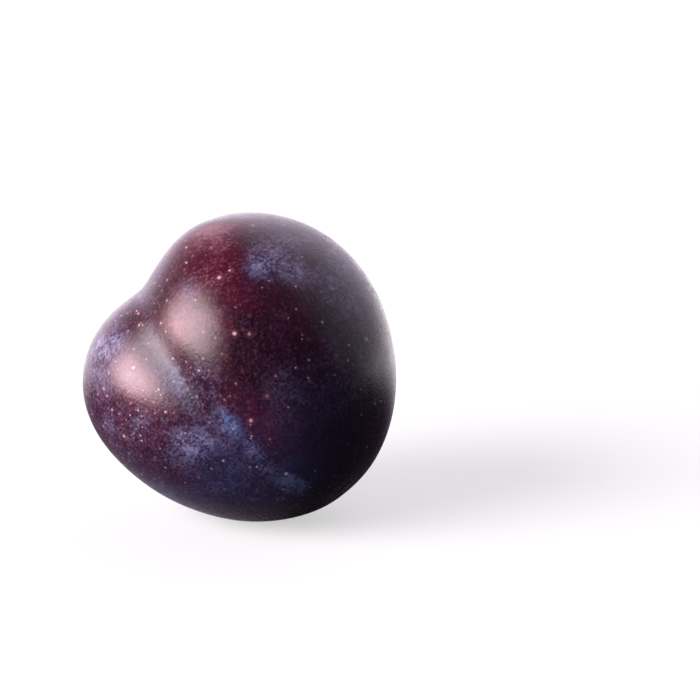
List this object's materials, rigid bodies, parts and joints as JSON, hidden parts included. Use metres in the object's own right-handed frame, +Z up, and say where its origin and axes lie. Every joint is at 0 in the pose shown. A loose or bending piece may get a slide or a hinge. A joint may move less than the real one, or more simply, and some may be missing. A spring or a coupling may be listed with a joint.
{
  "type": "plum",
  "caption": "Whole dark-skinned plum picked without its stalk: two uneven cheeks, a suture groove, a stalk hollow and a style scar, lying on a small flat spot.",
  "frame": {"origin": "middle of the small flat spot that the fruit lies on, level with the surface", "axes": "+Z up from the surface; the picture looks along +Y and a little down, with +X to its right; the stalk end points to -X, +Y and up, and the far end to +X, -Y and down"},
  "size_m": [0.0539, 0.0498, 0.0526],
  "materials": {
    "plum_skin": "satin"
  },
  "bodies": {
    "root": {"plum": "plum_skin"}
  },
  "joints": []
}
